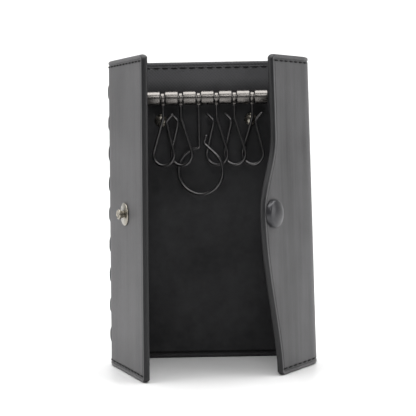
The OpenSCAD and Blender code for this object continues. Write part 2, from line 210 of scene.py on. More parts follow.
def soft_box(piece, low, high, bevel=0.12, kind=0, matrix=None):
    """A box with rounded edges."""
    bm = bmesh.new()
    bmesh.ops.create_cube(bm, size=1)
    size = Vector(high) - Vector(low)
    middle = (Vector(high) + Vector(low)) / 2
    for v in bm.verts:
        v.co = Vector([v.co[k] * size[k] + middle[k] for k in range(3)])
    bmesh.ops.bevel(bm, geom=bm.edges[:], offset=bevel, segments=3, affect="EDGES", profile=0.5)
    bm.verts.index_update()
    points = [v.co.copy() for v in bm.verts]
    faces = [[v.index for v in f.verts] for f in bm.faces]
    bm.free()
    piece.add(points, faces, kind, matrix)


def arc(cx, cz, r, a0, a1, n=6):
    """Points of a profile's round corner, from angle a0 to a1 in degrees."""
    out = []
    for i in range(n + 1):
        a = math.radians(a0 + (a1 - a0) * i / n)
        out.append((cx + r * math.cos(a), cz + r * math.sin(a)))
    return out


# %% [markdown]
# ## Finishes
# A finish is a small graph of shader nodes. `Value` lets a socket stand in an ordinary sum, so
# a finish reads as a formula: grain, streaks, painted shade in creases and stitch rows and a
# painted highlight on the rim are added up and drive colour, roughness and relief. Object
# coordinates are used throughout, because every piece is made in place and its grain then runs
# at its true size.

# %% Socket sums
class Value:
    def __init__(self, shader, socket):
        self.shader, self.socket = shader, socket

    def _do(self, kind, a, b=None):
        inputs = {0: a} if b is None else {0: a, 1: b}
        return self.shader.node("ShaderNodeMath", {"operation": kind}, inputs)

    def __add__(self, o): return self._do("ADD", self, o)
    def __radd__(self, o): return self._do("ADD", o, self)
    def __sub__(self, o): return self._do("SUBTRACT", self, o)
    def __rsub__(self, o): return self._do("SUBTRACT", o, self)
    def __mul__(self, o): return self._do("MULTIPLY", self, o)
    def __rmul__(self, o): return self._do("MULTIPLY", o, self)
    def __truediv__(self, o): return self._do("DIVIDE", self, o)
    def __rtruediv__(self, o): return self._do("DIVIDE", o, self)
    def __pow__(self, o): return self._do("POWER", self, o)
    def __neg__(self): return self._do("MULTIPLY", self, -1.0)
    def clamp(self): return self._do("MINIMUM", self._do("MAXIMUM", self, 0.0), 1.0)
    def wave(self): return self._do("SINE", self)
    def size(self): return self._do("ABSOLUTE", self)


class Finish:
    def __init__(self, name):
        self.material = bpy.data.materials.new(name)
        self.material.use_nodes = True
        self.tree = self.material.node_tree
        self.bsdf = self.tree.nodes["Principled BSDF"]

    def node(self, kind, settings=None, inputs=None, out=0):
        node = self.tree.nodes.new(kind)
        for key, value in (settings or {}).items():
            setattr(node, key, value)
        for key, value in (inputs or {}).items():
            self.put(node.inputs[key], value)
        return Value(self, node.outputs[out])

    def put(self, socket, value):
        if isinstance(value, Value):
            self.tree.links.new(value.socket, socket)
        elif isinstance(value, (int, float)) and socket.type == "VECTOR":
            socket.default_value = (value,) * 3
        else:
            socket.default_value = value

    def place(self, scale=(1, 1, 1)):
        """Object coordinates in millimetres, stretched by scale."""
        at = self.node("ShaderNodeTexCoord", out=3)
        size = [1000 * k for k in scale]
        return self.node("ShaderNodeVectorMath", {"operation": "MULTIPLY"}, {0: at, 1: size})

    def noise(self, scale, detail=3, stretch=(1, 1, 1), rough=0.5):
        return self.node("ShaderNodeTexNoise", None, {"Vector": self.place(stretch), "Scale": scale, "Detail": detail, "Roughness": rough})

    def cells(self, scale, feature="DISTANCE_TO_EDGE", stretch=(1, 1, 1)):
        return self.node("ShaderNodeTexVoronoi", {"feature": feature}, {"Vector": self.place(stretch), "Scale": scale})

    def axis(self, k):
        split = self.tree.nodes.new("ShaderNodeSeparateXYZ")
        self.tree.links.new(self.place().socket, split.inputs[0])
        return Value(self, split.outputs[k])

    def rim(self):
        return self.node("ShaderNodeAttribute", {"attribute_name": "rim"}, out=2)

    def seam(self, width):
        """1 along the two rows of stitches, falling to 0 at this width."""
        middle, row = HEIGHT / 2, HEIGHT / 2 - 2.2
        away = ((self.axis(2) - middle).size() - row).size()
        return 1 - (away / width).clamp()

    def mix(self, share, a, b):
        """A colour between a and b."""
        inputs = {0: share, 6: (*a, 1) if isinstance(a, tuple) else a, 7: (*b, 1) if isinstance(b, tuple) else b}
        return self.node("ShaderNodeMix", {"data_type": "RGBA"}, inputs, out=2)

    def relief(self, height, depth, under=None):
        """Bumps of a height of 0 to 1, depth in millimetres."""
        inputs = {"Height": height, "Distance": depth * MM, "Strength": 1.0}
        if under:
            inputs["Normal"] = under
        return self.node("ShaderNodeBump", None, inputs)

    def done(self, **inputs):
        for key, value in inputs.items():
            if isinstance(value, tuple):
                value = (*value, 1)
            self.put(self.bsdf.inputs[key.replace("_", " ")], value)
        return self.material


def ramp(value, low, high):
    """0 below low, 1 above high."""
    return ((value - low) / (high - low)).clamp()


# %% [markdown]
# ### Leather
# The outer skin is a smooth dyed hide. It has a very fine pebbled grain, faint drag marks that
# run up the hide, and a smoother rim whose colour is painted lighter as a highlight; the creased
# line and the stitch rows are painted darker as shade. The lining is thinner and darker and
# carries a fine crossed grain pressed in by a plate; its top band is painted lighter as sheen.
# Cut edges are painted and rubbed smooth.

# %% Leather finishes
def outer_leather():
    f = Finish("outer_leather")
    grain = ramp(f.cells(1.9), 0.02, 0.35)
    pores = ramp(f.noise(6.0, 4), 0.35, 0.65)
    drag = f.noise(0.17, 6, (1, 1, 0.05), 0.62)
    hairs = f.noise(0.9, 3, (1, 1, 0.03), 0.5)
    cloud = f.noise(0.05, 3)
    # within about 1.3 mm of an edge the colour is painted lighter as a highlight on the rim, and the roughness drops
    rim_highlight_and_polish = 1 - ramp(f.rim(), 0.3, 1.3)
    # the creased line 1.5 mm from an edge is painted darker: painted shade in its groove
    painted_crease_shade = 1 - ((f.rim() - 1.5).size() / 0.4).clamp()
    # along the stitch rows the leather is pressed into a groove by the relief and painted darker as shade in it
    stitch_groove_and_shade = f.seam(0.5)
    tone = (0.45 + 1.5 * (drag - 0.5) + 0.3 * (hairs - 0.5) + 0.8 * (cloud - 0.5) - 0.5 * painted_crease_shade - 0.6 * stitch_groove_and_shade + 0.15 * rim_highlight_and_polish).clamp()
    colour = f.mix(tone, (0.034, 0.0335, 0.0345), (0.115, 0.113, 0.117))
    rough = 0.33 + 0.24 * drag + 0.08 * pores - 0.10 * rim_highlight_and_polish + 0.1 * stitch_groove_and_shade
    relief = f.relief(1 - stitch_groove_and_shade, 0.10, f.relief(drag, 0.07))
    normal = f.relief(0.7 * grain + 0.3 * pores, 0.03, relief)
    return f.done(Base_Color=colour, Roughness=rough, Normal=normal, Specular_IOR_Level=0.45)


def lining_leather():
    f = Finish("lining_leather")
    x, z = f.axis(0) + f.axis(1), f.axis(2)
    bend = 0.8 * f.noise(0.9, 2)
    cross = 0.5 + 0.25 * ((x + z) * 5.0 + bend * 3).wave() + 0.25 * ((x - z) * 5.6 - bend * 3).wave()
    grain = ramp(f.cells(2.6), 0.02, 0.3)
    soft = f.noise(0.35, 4)
    cloud = f.noise(0.04, 3)
    # from 98 to 104 mm up, the lining is painted lighter: painted sheen of the light on its upper band; the crossed
    # grain in it is the leather's own
    top = ramp(z, 98.0, 104.0)
    # along the stitch rows the lining is pressed into a groove by the relief and painted darker as shade in it
    stitch_groove_and_shade = f.seam(0.5)
    tone = (0.10 + 0.25 * soft + 0.7 * (cloud - 0.4) + (0.45 + 0.5 * cross) * top - 0.5 * stitch_groove_and_shade).clamp()
    colour = f.mix(tone, (0.003, 0.003, 0.0035), (0.085, 0.085, 0.089))
    rough = 0.50 + 0.15 * soft - 0.08 * cross
    relief = f.relief(1 - stitch_groove_and_shade, 0.12, f.relief(soft, 0.06))
    normal = f.relief((0.25 + 0.75 * top) * cross + 0.35 * grain, 0.035, relief)
    return f.done(Base_Color=colour, Roughness=rough, Normal=normal, Specular_IOR_Level=0.22)


def painted_edge():
    f = Finish("painted_edge")
    beads = f.noise(1.3, 3, (1, 1, 0.5))
    fine = f.noise(7.0, 3)
    colour = f.mix(fine, (0.004, 0.004, 0.005), (0.016, 0.016, 0.017))
    normal = f.relief(0.7 * beads + 0.3 * fine, 0.08)
    return f.done(Base_Color=colour, Roughness=0.30 + 0.22 * beads, Normal=normal, Specular_IOR_Level=0.4)


def lace_leather():
    f = Finish("lace_leather")
    grain = ramp(f.cells(2.2), 0.02, 0.35)
    fibre = f.noise(1.2, 4, (1, 1, 0.15))
    colour = f.mix(fibre, (0.008, 0.008, 0.009), (0.04, 0.04, 0.042))
    return f.done(Base_Color=colour, Roughness=0.42 + 0.2 * fibre, Normal=f.relief(0.6 * grain + 0.4 * fibre, 0.05))


def thread():
    f = Finish("thread")
    twist = 0.5 + 0.5 * ((f.axis(0) + f.axis(1)) * 16.0 + f.axis(2) * 9.0).wave()
    fuzz = f.noise(9.0, 2)
    colour = f.mix(0.6 * twist + 0.4 * fuzz, (0.002, 0.002, 0.002), (0.014, 0.014, 0.015))
    return f.done(Base_Color=colour, Roughness=0.6 + 0.25 * fuzz, Normal=f.relief(twist, 0.08), Specular_IOR_Level=0.2)


SKIN, LINED, PAINT = outer_leather(), lining_leather(), painted_edge()
LACE, THREAD = lace_leather(), thread()
print("leather finishes made")

# %% [markdown]
# ### Metals
# The bar and its eyes are plated steel sheet with a warm grey satin. The hooks are dark
# gunmetal wire. The rivets and the stud are a pale warm plate. The cap is enamelled dark. Each
# carries drawing lines, fine scratches and a haze.

# %% Metal finishes
def plated(name, dark, bright, rough, lines, stretch, metallic=1.0, coat=0.0, haze=0.35):
    f = Finish(name)
    drawn = f.noise(lines, 3, stretch)
    spots = f.noise(0.8, 4)
    scratches = ramp(f.noise(3.5, 5, (1, 0.25, 1.6), 0.7), 0.56, 0.66)
    tone = (haze * spots + 0.45 * drawn + 0.35 * scratches).clamp()
    colour = f.mix(tone, dark, bright)
    rough = rough + 0.14 * spots + 0.10 * scratches - 0.05
    normal = f.relief(0.6 * drawn + 0.4 * scratches, 0.0015, f.relief(spots, 0.004))
    return f.done(Base_Color=colour, Roughness=rough, Metallic=metallic, Normal=normal, Coat_Weight=coat, Coat_Roughness=0.2)


BAR = plated("bar_metal", (0.10, 0.092, 0.086), (0.27, 0.258, 0.245), 0.26, 4.0, (0.08, 1, 1))
WIRE = plated("hook_wire", (0.05, 0.049, 0.050), (0.24, 0.235, 0.235), 0.30, 5.0, (1, 1, 0.3))
PALE = plated("rivet_metal", (0.20, 0.185, 0.155), (0.48, 0.45, 0.39), 0.24, 6.0, (1, 1, 1))
PLAIN = plated("snap_metal", (0.16, 0.155, 0.15), (0.36, 0.35, 0.34), 0.30, 6.0, (1, 1, 1))
CAP = plated("cap_metal", (0.010, 0.010, 0.012), (0.05, 0.05, 0.056), 0.30, 3.0, (1, 1, 1), 0.35, 0.25)
print("metal finishes made")

# %% [markdown]
# ## The leather shell
# Two skins are glued back to back, cut to the outline, creased just inside the cut and painted
# on the edge. The shell is made as five lengths of one strip that meet where the leather does
# not bend; each length holds one crease only.
# A length is a row of flat rings: up the outer skin, over the painted top, down the lining and
# round under the bottom.

# %% Shell
NEAR_EDGE = [0, 0.25, 0.5, 0.7, 0.85, 1.0, 1.15, 1.3, 1.45, 1.6, 1.8, 2.1, 2.6, 3.4, 4.6]
EDGE_ROUND, CORNER = 0.42, 2.2
EDGE_STEPS = 6


def crease(distance):
    """Relief of the line pressed in beside an edge, in millimetres."""
    return 0.10 * math.exp(-((distance - 0.85) / 0.35) ** 2) - 0.22 * math.exp(-((distance - 1.5) / 0.24) ** 2)


def spread(low, high, step):
    count = max(round((high - low) / step), 1)
    return [low + (high - low) * i / count for i in range(1, count)]


def corner_drop(gap):
    """How much lower the top is at a distance gap from a free edge."""
    if gap >= CORNER:
        return 0.0
    return CORNER - math.sqrt(max(CORNER ** 2 - (CORNER - max(gap, 0)) ** 2, 0))


def shell(name, side, u_low, u_high=None):
    """A length of the strip from u_low to u_high, or to the free edge if u_high is None."""
    piece = Piece()
    free = u_high is None
    flat_u = flap_start(side) if free else u_high
    columns = [("at", u_low)] + [("at", u) for u in spread(u_low, flat_u, 0.32)] + [("at", flat_u)]
    if free:
        length = SIDES[side]["flap"]
        shares = [0] + spread(0, 1, 2.5 / (length - NEAR_EDGE[-1])) + [1]
        columns += [("share", k) for k in shares[1:]]
        columns += [("edge", d, 0) for d in NEAR_EDGE[-2::-1]]
        columns += [("edge", 0, a) for a in (20, 40, 58, 74)]
    inner = [0] + [HEIGHT / 2 - x for x in []]
    lows = [EDGE_ROUND + d for d in NEAR_EDGE]
    faces_z = lows + spread(lows[-1], HEIGHT - lows[-1], 2.4) + [HEIGHT - v for v in lows[::-1]]
    cap = [math.radians(180 * i / EDGE_STEPS) for i in range(1, EDGE_STEPS)]
    points, rim, count = [], [], 0
    for column in columns:
        ring_points = []

        def place(z, depth, face):
            end = edge_u(side, min(max(z, 0), HEIGHT))
            slope = (edge_u(side, min(z + 0.5, HEIGHT)) - edge_u(side, max(z - 0.5, 0))) if free else 0
            square = 1 / math.sqrt(1 + slope * slope)
            thin = 1.0
            if column[0] == "at":
                u = column[1]
            elif column[0] == "share":
                u = flat_u + column[1] * (end - EDGE_ROUND - NEAR_EDGE[-1] - flat_u)
            else:
                u = end - EDGE_ROUND - column[1] + EDGE_ROUND * math.sin(math.radians(column[2]))
                thin = math.cos(math.radians(column[2]))
            gap = (end - u) * square if free else 99
            drop = corner_drop(end - u) if free else 0
            half = HEIGHT / 2
            zz = half + (z - half) * (half - drop) / half
            near = min(zz - drop * 0, HEIGHT - zz, gap) - 0
            near = min(zz if zz < half else HEIGHT - zz, gap) - 0.0
            lift = crease(near) if face else 0
            d = depth
            if face == 1:
                d -= lift
            elif face == 2:
                d += lift
            d = WALL / 2 + (d - WALL / 2) * thin
            ring_points.append((on_strip(side, u, d, zz), near if face else 0.0))

        for z in faces_z:
            place(z, 0, 1)
        for a in cap:
            place(HEIGHT - EDGE_ROUND + EDGE_ROUND * math.sin(a), WALL / 2 * (1 - math.cos(a)), 0)
        for z in faces_z[::-1]:
            place(z, WALL, 2)
        for a in cap:
            place(EDGE_ROUND - EDGE_ROUND * math.sin(a), WALL / 2 * (1 + math.cos(a)), 0)
        count = len(ring_points)
        points += [p for p, _ in ring_points]
        rim += [max(n, 0) for _, n in ring_points]
    n_face, n_cap = len(faces_z), len(cap)
    band = [0] * (n_face - 1) + [2] * (n_cap + 1) + [1] * (n_face - 1) + [2] * (n_cap + 1)
    faces = rings(points, count, closed_ends=False)
    kinds = []
    for k in range(len(columns) - 1):
        painted = columns[k + 1][0] == "edge" and columns[k + 1][2] > 0
        kinds += [2] * count if painted else band
    # the ends of a length are closed by strips from the outer skin to the lining
    top = n_face + n_cap
    for base in (0, (len(columns) - 1) * count):
        pairs = [(i, n_face + n_cap + n_face - 1 - i) for i in range(n_face)]
        for (a, b), (c, d) in zip(pairs, pairs[1:]):
            faces.append([base + a, base + c, base + d, base + b])
            kinds.append(2)
        faces.append([base + i for i in range(n_face - 1, n_face + n_cap + 1)])
        faces.append([base + i for i in list(range(2 * n_face + n_cap - 1, count)) + [0]])
        kinds += [2, 2]
    piece.add(points, faces, kinds, rim=rim)
    return piece


def middle(side):
    return sum(SIDES[side]["bends"]) / 2


def bend_over(obj, side, low, high):
    on_strip(side, low, WALL / 2, 0) * MM
    on_strip(side, high, WALL / 2, 0) * MM
    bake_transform(obj)


BACK_ENDS = {-1: 22.0, 1: 20.0}
for side, word in ((-1, "left"), (1, "right")):
    first, second = SIDES[side]["bends"]
    cut = arc_u(side, middle(side))
    fold = shell(f"{word}_fold_leather", side, BACK_ENDS[side], cut).build(
        f"{word}_fold_leather", SKIN, LINED, PAINT,
        replaces=(f"{word}_fold_outer", f"{word}_fold_lining"), slot="outer_leather", sharp=60)
    bend_over(fold, side, BACK_ENDS[side] + 0.1, arc_u(side, 2 * first + 8))
    flap = shell(f"{word}_flap_leather", side, cut).build(
        f"{word}_flap_leather", SKIN, LINED, PAINT,
        replaces=(f"{word}_flap_outer", f"{word}_flap_lining"), slot="outer_leather", sharp=60)
    bend_over(flap, side, cut + 0.3, arc_u(side, 2 * second - middle(side) - 2))


def back_shell():
    """The flat back, from the left length to the right one."""
    lows = [EDGE_ROUND + d for d in NEAR_EDGE]
    heights = lows + spread(lows[-1], HEIGHT - lows[-1], 2.4) + [HEIGHT - v for v in lows[::-1]]
    cap = [math.radians(180 * i / EDGE_STEPS) for i in range(1, EDGE_STEPS)]
    stops = [-BACK_ENDS[-1]] + spread(-BACK_ENDS[-1], BACK_ENDS[1], 2.0) + [BACK_ENDS[1]]
    points, rim = [], []
    for x in stops:
        loop = [(z, -crease(min(z, HEIGHT - z)), min(z, HEIGHT - z)) for z in heights]
        loop += [(HEIGHT - EDGE_ROUND * (1 - math.sin(a)), WALL / 2 * (1 - math.cos(a)), 0) for a in cap]
        loop += [(z, WALL + crease(min(z, HEIGHT - z)), min(z, HEIGHT - z)) for z in heights[::-1]]
        loop += [(EDGE_ROUND * (1 - math.sin(a)), WALL / 2 * (1 + math.cos(a)), 0) for a in cap]
        points += [Vector((x, OUTER / 2 - d, z)) for z, d, _ in loop]
        rim += [n for _, _, n in loop]
    count = len(points) // len(stops)
    band = [0] * (len(heights) - 1) + [2] * (len(cap) + 1) + [1] * (len(heights) - 1) + [2] * (len(cap) + 1)
    faces = rings(points, count, closed_ends=False)
    kinds = band * (len(stops) - 1)
    n_face, n_cap = len(heights), len(cap)
    for base in (0, (len(stops) - 1) * count):
        pairs = [(i, 2 * n_face + n_cap - 1 - i) for i in range(n_face)]
        for (a, b), (c, d) in zip(pairs, pairs[1:]):
            faces.append([base + a, base + c, base + d, base + b])
            kinds.append(2)
        faces.append([base + i for i in range(n_face - 1, n_face + n_cap + 1)])
        faces.append([base + i for i in list(range(2 * n_face + n_cap - 1, count)) + [0]])
        kinds += [2, 2]
    piece = Piece()
    piece.add(points, faces, kinds, rim=rim)
    return piece


back_shell().build("back_leather", SKIN, LINED, PAINT, body="case_back",
                   replaces=("back_outer", "back_lining", "stiffener_board"), slot="outer_leather", sharp=60)

# %% [markdown]
# ## Key bar
# One stamped plate is rolled into a slotted barrel; its flat part hides behind the lining and
# two rivets hold it. A rod runs through the barrel, and the hooks' eyes ride on the rod in the
# slots. The barrel's ends and slots are rounded where the press has drawn the sheet.

# %% Bar, rod and eyes
PITCH = HOOK_X[1] - HOOK_X[0]
SLOT, BARREL_R, ROD_R = 1.74, 2.55, 0.95
LINING_Y = OUTER / 2 - WALL
RIVETS = [(-17.2, 88.6), (15.9, 88.6)]
ACROSS = Matrix.Rotation(math.radians(90), 4, "Y")
FRONT = Matrix.Rotation(math.radians(90), 4, "X")


def at(x, y, z, turn=None):
    return Matrix.Translation((x, y, z)) @ (turn or Matrix.Identity(4))


bar = Piece()
half = (PITCH - SLOT) / 2
profile = ([(ROD_R + 0.12, -half + 0.15), (ROD_R + 0.3, -half)] + arc(BARREL_R - 0.35, -half + 0.35, 0.35, -90, 0)
           + arc(BARREL_R - 0.35, half - 0.35, 0.35, 0, 90) + [(ROD_R + 0.3, half), (ROD_R + 0.12, half - 0.15)])
for k in range(len(HOOK_X) + 1):
    x = HOOK_X[0] - PITCH / 2 + k * PITCH
    lathe(bar, profile + profile[:1], at(x, ROD[1], ROD[2], ACROSS), n=64)
    soft_box(bar, (x - half, ROD[1] + 1.6, ROD[2] - 0.8), (x + half, LINING_Y + 0.4, ROD[2] + 0.8), 0.2)
bar.build("bar_barrel", BAR, body="case_back", replaces=("key_plate",), slot="bar_metal")

rod = Piece()
length = (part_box("hook_rod")[1].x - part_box("hook_rod")[0].x) / MM / 2
lathe(rod, [(0, -length)] + arc(ROD_R - 0.2, -length + 0.2, 0.2, -90, 0, 3)
      + arc(ROD_R - 0.2, length - 0.2, 0.2, 0, 90, 3) + [(0, length)], at(0, ROD[1], ROD[2], ACROSS), n=40)
rod.build("bar_rod", PLAIN, body="case_back", replaces=("hook_rod",), slot="bar_metal")

EYE_R, EYE_W, EYE_DROP, NECK_R = 1.95, 1.3, 2.6, 0.35
for i, x in enumerate(HOOK_X, 1):
    eye = Piece()
    w, e = EYE_W / 2, 0.18
    ring_profile = ([(ROD_R + 0.05, -w + 0.1)] + arc(EYE_R - e, -w + e, e, -90, 0, 3) + arc(EYE_R - e, w - e, e, 0, 90, 3)
                    + [(ROD_R + 0.05, w - 0.1), (ROD_R + 0.05, -w + 0.1)])
    lathe(eye, ring_profile, at(x, ROD[1], ROD[2], ACROSS), n=40)
    soft_box(eye, (x - w, ROD[1] - w, ROD[2] - EYE_DROP), (x + w, ROD[1] + w, ROD[2] - 1.55), 0.16)
    eye.build(f"hook_{i}_eye", BAR, body=f"shackle_{i}", replaces=(f"shackle_{i}",), slot="bar_metal")

# %% [markdown]
# ## Hooks
# Each key hook is one springy wire bent like a drop: down one side, round the loop and back up
# to a gate that closes beside the shank and flares at its tip. The third is longer and ends in
# a round split ring. A hook is a list of straight lengths and bends, swept with a round wire.

# %% Hooks
WIRE_R, SHANK_TOP, HOOK_TURN = 0.55, 2.75, 18
BEND_R, LOOP_R, BEND_DROP, LOOP_DROP = 1.8, 4.0, 7.4, 20.6
GATE_LEAN, TIP_TURN, TIP_LEN = 14, 58, 2.4


def bend(radius, turn, step=5):
    n = max(math.ceil(abs(turn) / step), 1)
    return [(2 * radius * math.sin(math.radians(abs(turn) / n / 2)), turn / n)] * n


def sweep(steps, sides=20):
    """A round wire along the steps, from the origin downwards, with a rounded tip."""
    x = z = heading = 0.0
    places = [(x, z, heading, 1.0)]
    for length, turn in steps:
        mid = math.radians(heading + turn / 2)
        x, z, heading = x + length * math.sin(mid), z - length * math.cos(mid), heading + turn
        places.append((x, z, heading, 1.0))
    h = math.radians(heading)
    for a in (25, 50, 72, 86):
        out, share = WIRE_R * math.sin(math.radians(a)), math.cos(math.radians(a))
        places.append((x + out * math.sin(h), z - out * math.cos(h), heading, share))
    points = []
    for x, z, heading, share in places:
        h, r = math.radians(heading), share * WIRE_R
        for i in range(sides):
            a = 2 * math.pi * i / sides
            points.append((x + r * math.cos(a) * math.cos(h), r * math.sin(a), z + r * math.cos(a) * math.sin(h)))
    return points, rings(points, sides)


def key_steps():
    reach = LOOP_DROP - BEND_DROP
    taper = math.asin(LOOP_R / reach)
    trim = BEND_R * math.tan(taper / 2)
    gate = (LOOP_R * math.cos(math.radians(GATE_LEAN)) - 2 * WIRE_R - 0.25) / math.sin(math.radians(GATE_LEAN))
    degrees = math.degrees(taper)
    return ([(BEND_DROP - SHANK_TOP - trim, 0)] + bend(BEND_R, -degrees) + [(reach * math.cos(taper) - trim, 0)]
            + bend(LOOP_R, 180 + degrees + GATE_LEAN) + [(gate, 0)] + bend(BEND_R, -TIP_TURN) + [(TIP_LEN, 0)])


def ring_steps():
    return ([(18.4 - SHANK_TOP - 1, 0)] + bend(1, -82) + bend(8.5, 310, 3) + [(5, 0)] + bend(1, -67) + [(2.2, 0)])


HANDS = {1: 1, 2: -1, 3: 1, 4: -1, 5: -1, 6: 1}
for i, x in enumerate(HOOK_X, 1):
    hook = Piece()
    hand = Matrix.Diagonal((HANDS[i], 1, 1, 1))
    place = at(x, ROD[1], ROD[2], Matrix.Rotation(math.radians(-HOOK_TURN), 4, "Z") @ hand @ Matrix.Translation((0, 0, -SHANK_TOP)))
    points, faces = sweep(ring_steps() if i == 3 else key_steps())
    hook.add(points, faces, matrix=place)
    lathe(hook, [(0, 0.05), (NECK_R, 0.05), (NECK_R, 1.4), (0, 1.4)], place, n=20)
    lathe(hook, [(0, -0.5)] + arc(WIRE_R + 0.05, -0.15, 0.18, -90, 90, 4) + [(0, 0.03)], place, n=24)
    node = "ring_hook_3" if i == 3 else f"key_hook_{i}"
    hook.build(node + "_wire", WIRE, body=f"hook_{i}", replaces=(node,), slot="hook_wire")

# %% [markdown]
# ## Rivets and snap
# Two rivets with low round heads hold the plate. On the left flap a stud stands on a flange,
# peened over a post from the lining side. On the right flap's tongue the socket's dark cap
# shows; its sprung ring grips the stud's rim when the case is shut.

# %% Rivets and snap
def dome(radius, height, rim, n=14):
    """Profile of a domed head with a rolled rim, from its pole down to its underside."""
    big = (radius ** 2 + (height - rim) ** 2) / (2 * (height - rim))
    a = math.asin((radius - rim * 0.4) / big)
    top = [(big * math.sin(a * i / n), height - big * (1 - math.cos(a * i / n))) for i in range(n + 1)]
    return top + arc(radius - rim * 0.5, rim * 0.5, rim * 0.5, 45, -90, 5) + [(0, 0)]


def on_flap(side, along, z):
    """Frame of a flap: X along the flap, Y into the leather, Z up."""
    s = SIDES[side]
    p = on_strip(1, 0, 0, 0)
    a = math.radians(90 + s["lean"])
    corner = Vector((s["start"] + s["r"] * math.sin(a), OUTER / 2 - s["r"] + s["r"] * math.cos(a), z))
    turn = Matrix.Rotation(math.radians(90 - s["lean"]), 4, "Z")
    return Matrix.Diagonal((side, 1, 1, 1)) @ Matrix.Translation(corner) @ turn @ Matrix.Translation((-along, 0, 0))


heads = Piece()
for x, z in RIVETS:
    lathe(heads, dome(2.4, 1.3, 0.35), at(x, LINING_Y - 0.25, z, FRONT), n=64)
    lathe(heads, [(0, 0.3), (2.0, 0.3), (2.0, 0.0), (0, 0)], at(x, LINING_Y - 0.0, z, FRONT), n=48)
heads.build("rivet_heads", PALE, body="case_back", replaces=("plate_rivets", "rivet_washers"), slot="rivet_metal")

SNAP_ALONG = 15.8
stud_place = on_flap(-1, SNAP_ALONG, SNAP_Z) @ FRONT
stud = Piece()
lathe(stud, [(0, 2.5), (0.8, 2.5), (1.05, 2.78)] + arc(1.2, 2.3, 0.6, 75, -60, 10) + [(1.3, 1.65), (1.28, 0.95), (1.6, 0.72)]
      + arc(4.0 - 0.3, 0.3, 0.3, 90, -90, 6) + [(0, 0)], stud_place, n=64)
stud.build("snap_stud_turned", PALE, body="left_flap", replaces=("snap_stud",), slot="rivet_metal")
post = Piece()
inside = on_flap(-1, SNAP_ALONG, SNAP_Z) @ Matrix.Translation((0, WALL, 0)) @ Matrix.Rotation(math.radians(-90), 4, "X")
lathe(post, dome(3.8, 0.5, 0.3), inside, n=64)
post.build("snap_post_head", PALE, body="left_flap", replaces=("stud_post",), slot="rivet_metal")

shut = lambda name: [(a + b) / 2 / MM for a, b in zip(*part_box(name))]
cap_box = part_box("snap_cap")
corner = on_flap(1, 0, SNAP_Z) @ Vector((0, 0, 0))
away = (Vector(shut("snap_cap")) - corner)
lean = math.radians(SIDES[1]["lean"])
CAP_ALONG = away.x * -math.sin(lean) + away.y * -math.cos(lean)
cap_place = on_flap(1, CAP_ALONG, SNAP_Z) @ FRONT
print(f"cap sits {CAP_ALONG:.1f} mm along the right flap")
cap = Piece()
button = [(0, 2.5), (1.2, 2.47), (2.2, 2.38), (3.1, 2.2), (3.7, 1.98)] + arc(3.75, 0.95, 1.0, 72, 8, 7) + [(4.82, 0.55), (4.9, 0.3)]
lathe(cap, button + arc(4.72, 0.18, 0.18, 0, -90, 4) + [(0, 0)], cap_place, n=72)
cap.build("snap_cap_dome", CAP, body="right_flap", replaces=("snap_cap",), slot="cap_metal")
socket = Piece()
hole = on_flap(1, CAP_ALONG, SNAP_Z) @ Matrix.Translation((0, WALL, 0)) @ Matrix.Rotation(math.radians(-90), 4, "X")
lathe(socket, [(2.1, -WALL - 0.3), (2.1, 0.35)] + arc(2.35, 0.35, 0.25, 180, 0, 6)[1:] + [(2.7, 0.2), (3.9, 0.2)]
      + arc(3.9, 0.25, 0.25, 90, -90, 5) + [(2.55, 0), (2.55, -WALL - 0.3), (2.1, -WALL - 0.3)], hole, n=64)
lathe(socket, arc(2.4, -WALL - 0.45, 0.2, 0, 360, 12), hole, n=48)
socket.build("snap_socket_ring", PLAIN, body="right_flap", replaces=("snap_socket", "snap_spring"), slot="snap_metal")

# %% [markdown]
# ## Stitches and lace
# Things that repeat along a line are laid by one geometry-node group: it takes a line, a piece
# and a pitch, sets the piece at each step, turns it a little by chance and gives it a finish.
# The result is turned into a plain mesh for the body it rides on.

